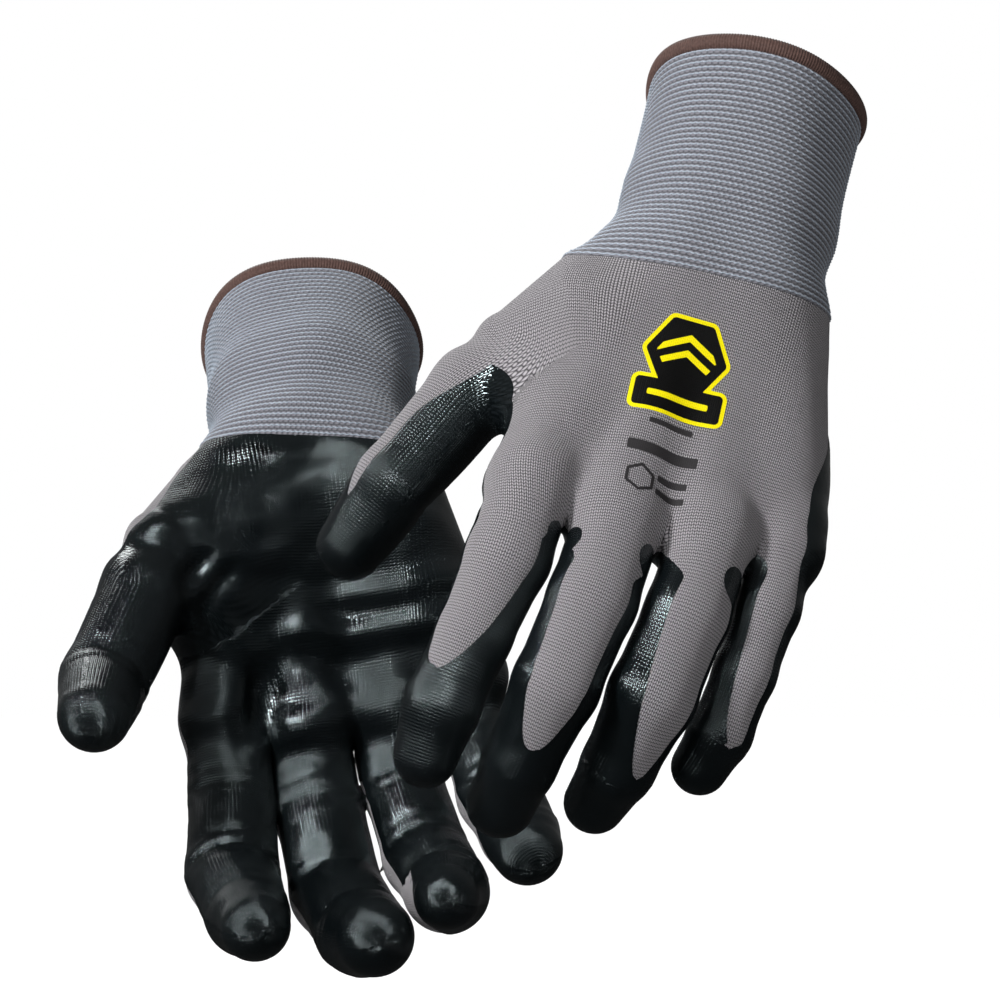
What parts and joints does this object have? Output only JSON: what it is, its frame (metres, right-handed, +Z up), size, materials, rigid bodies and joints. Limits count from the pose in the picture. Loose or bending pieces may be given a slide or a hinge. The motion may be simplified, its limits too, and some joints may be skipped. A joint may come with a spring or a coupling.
{
  "type": "work gloves",
  "caption": "Pair of seamless grey knitted work gloves with black dipped palms and fingertips, ribbed elastic cuffs, a rolled brown hem and a printed badge, fingers that curl.",
  "frame": {"origin": "under the middle of the displayed pair, on the level of the lowest fingertip", "axes": "+Z up, along the hanging gloves from fingertips to cuffs; the display's front faces -Y; +X to the left glove's side"},
  "size_m": [0.2251, 0.2659, 0.26],
  "materials": {
    "hand_knit": "fine seamless nylon knit, warm grey, matt",
    "cuff_knit": "ribbed elastic knit, bluish grey, matt",
    "elastic": "light bluish laid-in elastic thread",
    "hem_thread": "brown overlock thread, wound tight",
    "nitrile": "black dipped nitrile, glossy, with the knit showing through as fine dots",
    "print": null
  },
  "bodies": {
    "right_hand": {"right_hand_liner": "hand_knit", "right_palm_coat": "nitrile", "right_back_print": "print"},
    "right_cuff_tube": {"right_cuff": "cuff_knit", "right_hem": "hem_thread", "right_cuff_elastic": "elastic"},
    "right_thumb_1": {"right_thumb_base": "hand_knit", "right_thumb_base_coat": "nitrile"},
    "right_thumb_2": {"right_thumb_tip": "nitrile"},
    "right_index_1": {"right_index_base": "hand_knit", "right_index_base_coat": "nitrile"},
    "right_index_2": {"right_index_middle": "hand_knit", "right_index_middle_coat": "nitrile"},
    "right_index_3": {"right_index_tip": "nitrile"},
    "right_middle_1": {"right_middle_base": "hand_knit", "right_middle_base_coat": "nitrile"},
    "right_middle_2": {"right_middle_middle": "hand_knit", "right_middle_middle_coat": "nitrile"},
    "right_middle_3": {"right_middle_tip": "nitrile"},
    "right_ring_1": {"right_ring_base": "hand_knit", "right_ring_base_coat": "nitrile"},
    "right_ring_2": {"right_ring_middle": "hand_knit", "right_ring_middle_coat": "nitrile"},
    "right_ring_3": {"right_ring_tip": "nitrile"},
    "right_little_1": {"right_little_base": "hand_knit", "right_little_base_coat": "nitrile"},
    "right_little_2": {"right_little_middle": "hand_knit", "right_little_middle_coat": "nitrile"},
    "right_little_3": {"right_little_tip": "nitrile"},
    "left_hand": {"left_hand_liner": "hand_knit", "left_palm_coat": "nitrile", "left_back_print": "print"},
    "left_cuff_tube": {"left_cuff": "cuff_knit", "left_hem": "hem_thread", "left_cuff_elastic": "elastic"},
    "left_thumb_1": {"left_thumb_base": "hand_knit", "left_thumb_base_coat": "nitrile"},
    "left_thumb_2": {"left_thumb_tip": "nitrile"},
    "left_index_1": {"left_index_base": "hand_knit", "left_index_base_coat": "nitrile"},
    "left_index_2": {"left_index_middle": "hand_knit", "left_index_middle_coat": "nitrile"},
    "left_index_3": {"left_index_tip": "nitrile"},
    "left_middle_1": {"left_middle_base": "hand_knit", "left_middle_base_coat": "nitrile"},
    "left_middle_2": {"left_middle_middle": "hand_knit", "left_middle_middle_coat": "nitrile"},
    "left_middle_3": {"left_middle_tip": "nitrile"},
    "left_ring_1": {"left_ring_base": "hand_knit", "left_ring_base_coat": "nitrile"},
    "left_ring_2": {"left_ring_middle": "hand_knit", "left_ring_middle_coat": "nitrile"},
    "left_ring_3": {"left_ring_tip": "nitrile"},
    "left_little_1": {"left_little_base": "hand_knit", "left_little_base_coat": "nitrile"},
    "left_little_2": {"left_little_middle": "hand_knit", "left_little_middle_coat": "nitrile"},
    "left_little_3": {"left_little_tip": "nitrile"}
  },
  "joints": [
    {"name": "right_wrist", "type": "hinge", "parent": "right_hand", "child": "right_cuff_tube", "pos_m": [-0.0445, 0.0595, 0.143], "axis": [-0.9809, -0.1689, -0.0969], "range_deg": [-84, 10], "stiffness_Nm_per_rad": 0.3},
    {"name": "right_thumb_knuckle", "type": "hinge", "parent": "right_hand", "child": "right_thumb_1", "pos_m": [-0.0922, 0.02826, 0.10233], "axis": [-0.862, -0.1494, 0.4843], "range_deg": [-15, 25], "stiffness_Nm_per_rad": 0.01},
    {"name": "right_thumb_bend", "type": "hinge", "parent": "right_thumb_1", "child": "right_thumb_2", "pos_m": [-0.10051, 0.00397, 0.08004], "axis": [-0.862, -0.1494, 0.4843], "range_deg": [-22.5, 39.5], "stiffness_Nm_per_rad": 0.01},
    {"name": "right_index_knuckle", "type": "hinge", "parent": "right_hand", "child": "right_index_1", "pos_m": [-0.06422, 0.03113, 0.04608], "axis": [-0.9902, -0.1347, 0.038], "range_deg": [-25, 45], "stiffness_Nm_per_rad": 0.01},
    {"name": "right_index_bend", "type": "hinge", "parent": "right_index_1", "child": "right_index_2", "pos_m": [-0.06342, 0.01952, 0.02565], "axis": [-0.9902, -0.1347, 0.038], "range_deg": [-32, 54], "stiffness_Nm_per_rad": 0.01},
    {"name": "right_index_tip_bend", "type": "hinge", "parent": "right_index_2", "child": "right_index_3", "pos_m": [-0.06135, 0.00124, 0.01486], "axis": [-0.9902, -0.1347, 0.038], "range_deg": [-19.21, 32.41], "stiffness_Nm_per_rad": 0.01},
    {"name": "right_middle_knuckle", "type": "hinge", "parent": "right_hand", "child": "right_middle_1", "pos_m": [-0.03993, 0.03528, 0.04241], "axis": [-0.9672, -0.1866, -0.1722], "range_deg": [-26, 44], "stiffness_Nm_per_rad": 0.01},
    {"name": "right_middle_bend", "type": "hinge", "parent": "right_middle_1", "child": "right_middle_2", "pos_m": [-0.03361, 0.02288, 0.02031], "axis": [-0.9672, -0.1866, -0.1722], "range_deg": [-36, 50], "stiffness_Nm_per_rad": 0.01},
    {"name": "right_middle_tip_bend", "type": "hinge", "parent": "right_middle_2", "child": "right_middle_3", "pos_m": [-0.02785, 0.00218, 0.01039], "axis": [-0.9672, -0.1866, -0.1722], "range_deg": [-21.61, 30.01], "stiffness_Nm_per_rad": 0.01},
    {"name": "right_ring_knuckle", "type": "hinge", "parent": "right_hand", "child": "right_ring_1", "pos_m": [-0.01701, 0.0399, 0.04922], "axis": [-0.9592, -0.1942, -0.2053], "range_deg": [-31, 39], "stiffness_Nm_per_rad": 0.01},
    {"name": "right_ring_bend", "type": "hinge", "parent": "right_ring_1", "child": "right_ring_2", "pos_m": [-0.01017, 0.02663, 0.02981], "axis": [-0.9592, -0.1942, -0.2053], "range_deg": [-33.5, 52.5], "stiffness_Nm_per_rad": 0.01},
    {"name": "right_ring_tip_bend", "type": "hinge", "parent": "right_ring_2", "child": "right_ring_3", "pos_m": [-0.00439, 0.00691, 0.02147], "axis": [-0.9592, -0.1942, -0.2053], "range_deg": [-20.11, 31.51], "stiffness_Nm_per_rad": 0.01},
    {"name": "right_little_knuckle", "type": "hinge", "parent": "right_hand", "child": "right_little_1", "pos_m": [0.00288, 0.04314, 0.06238], "axis": [-0.9283, -0.2154, -0.303], "range_deg": [-30.5, 39.5], "stiffness_Nm_per_rad": 0.01},
    {"name": "right_little_bend", "type": "hinge", "parent": "right_little_1", "child": "right_little_2", "pos_m": [0.01002, 0.03326, 0.04755], "axis": [-0.9283, -0.2154, -0.303], "range_deg": [-16, 70], "stiffness_Nm_per_rad": 0.01},
    {"name": "right_little_tip_bend", "type": "hinge", "parent": "right_little_2", "child": "right_little_3", "pos_m": [0.01633, 0.02107, 0.03685], "axis": [-0.9283, -0.2154, -0.303], "range_deg": [-9.61, 42.01], "stiffness_Nm_per_rad": 0.01},
    {"name": "left_glove_lift_off", "type": "slide", "parent": "right_hand", "child": "left_hand", "axis": [0, -1, 0], "range_m": [0, 0.15]},
    {"name": "left_wrist", "type": "hinge", "parent": "left_hand", "child": "left_cuff_tube", "pos_m": [0.068, -0.0605, 0.187], "axis": [0.9539, 0.0822, -0.2887], "range_deg": [-40, 54], "stiffness_Nm_per_rad": 0.3},
    {"name": "left_thumb_knuckle", "type": "hinge", "parent": "left_hand", "child": "left_thumb_1", "pos_m": [0.00347, -0.07461, 0.16373], "axis": [0.7918, -0.1942, -0.579], "range_deg": [-15, 25], "stiffness_Nm_per_rad": 0.01},
    {"name": "left_thumb_bend", "type": "hinge", "parent": "left_thumb_1", "child": "left_thumb_2", "pos_m": [-0.01701, -0.07766, 0.13676], "axis": [0.7918, -0.1942, -0.579], "range_deg": [-14.5, 47.5], "stiffness_Nm_per_rad": 0.01},
    {"name": "left_index_knuckle", "type": "hinge", "parent": "left_hand", "child": "left_index_1", "pos_m": [0.01562, -0.11336, 0.11588], "axis": [0.9034, -0.0085, -0.4287], "range_deg": [-27.5, 42.5], "stiffness_Nm_per_rad": 0.01},
    {"name": "left_index_bend", "type": "hinge", "parent": "left_index_1", "child": "left_index_2", "pos_m": [0.00579, -0.11902, 0.09527], "axis": [0.9034, -0.0085, -0.4287], "range_deg": [-12.5, 73.5], "stiffness_Nm_per_rad": 0.01},
    {"name": "left_index_tip_bend", "type": "hinge", "parent": "left_index_2", "child": "left_index_3", "pos_m": [-0.00335, -0.1203, 0.07606], "axis": [0.9034, -0.0085, -0.4287], "range_deg": [-7.51, 44.11], "stiffness_Nm_per_rad": 0.01},
    {"name": "left_middle_knuckle", "type": "hinge", "parent": "left_hand", "child": "left_middle_1", "pos_m": [0.03633, -0.11578, 0.10519], "axis": [0.9157, 0.0097, -0.4016], "range_deg": [-25, 45], "stiffness_Nm_per_rad": 0.01},
    {"name": "left_middle_bend", "type": "hinge", "parent": "left_middle_1", "child": "left_middle_2", "pos_m": [0.02633, -0.12317, 0.08223], "axis": [0.9157, 0.0097, -0.4016], "range_deg": [-35, 51], "stiffness_Nm_per_rad": 0.01},
    {"name": "left_middle_tip_bend", "type": "hinge", "parent": "left_middle_2", "child": "left_middle_3", "pos_m": [0.01716, -0.11642, 0.06148], "axis": [0.9157, 0.0097, -0.4016], "range_deg": [-21.01, 30.61], "stiffness_Nm_per_rad": 0.01},
    {"name": "left_ring_knuckle", "type": "hinge", "parent": "left_hand", "child": "left_ring_1", "pos_m": [0.06014, -0.11108, 0.10171], "axis": [0.9296, 0.0324, -0.3671], "range_deg": [-28, 42], "stiffness_Nm_per_rad": 0.01},
    {"name": "left_ring_bend", "type": "hinge", "parent": "left_ring_1", "child": "left_ring_2", "pos_m": [0.05156, -0.11674, 0.07949], "axis": [0.9296, 0.0324, -0.3671], "range_deg": [-35, 51], "stiffness_Nm_per_rad": 0.01},
    {"name": "left_ring_tip_bend", "type": "hinge", "parent": "left_ring_2", "child": "left_ring_3", "pos_m": [0.04366, -0.1093, 0.06015], "axis": [0.9296, 0.0324, -0.3671], "range_deg": [-21.01, 30.61], "stiffness_Nm_per_rad": 0.01},
    {"name": "left_little_knuckle", "type": "hinge", "parent": "left_hand", "child": "left_little_1", "pos_m": [0.08202, -0.1013, 0.10297], "axis": [0.9417, 0.0551, -0.3318], "range_deg": [-25, 45], "stiffness_Nm_per_rad": 0.01},
    {"name": "left_little_bend", "type": "hinge", "parent": "left_little_1", "child": "left_little_2", "pos_m": [0.07618, -0.10667, 0.08549], "axis": [0.9417, 0.0551, -0.3318], "range_deg": [-23, 63], "stiffness_Nm_per_rad": 0.01},
    {"name": "left_little_tip_bend", "type": "hinge", "parent": "left_little_2", "child": "left_little_3", "pos_m": [0.07034, -0.10525, 0.06916], "axis": [0.9417, 0.0551, -0.3318], "range_deg": [-13.81, 37.81], "stiffness_Nm_per_rad": 0.01}
  ],
  "couplings": [
    {"joint": "right_index_tip_bend", "follows": "right_index_bend", "ratio": 0.6},
    {"joint": "right_middle_tip_bend", "follows": "right_middle_bend", "ratio": 0.6},
    {"joint": "right_ring_tip_bend", "follows": "right_ring_bend", "ratio": 0.6},
    {"joint": "right_little_tip_bend", "follows": "right_little_bend", "ratio": 0.6},
    {"joint": "left_index_tip_bend", "follows": "left_index_bend", "ratio": 0.6},
    {"joint": "left_middle_tip_bend", "follows": "left_middle_bend", "ratio": 0.6},
    {"joint": "left_ring_tip_bend", "follows": "left_ring_bend", "ratio": 0.6},
    {"joint": "left_little_tip_bend", "follows": "left_little_bend", "ratio": 0.6}
  ]
}
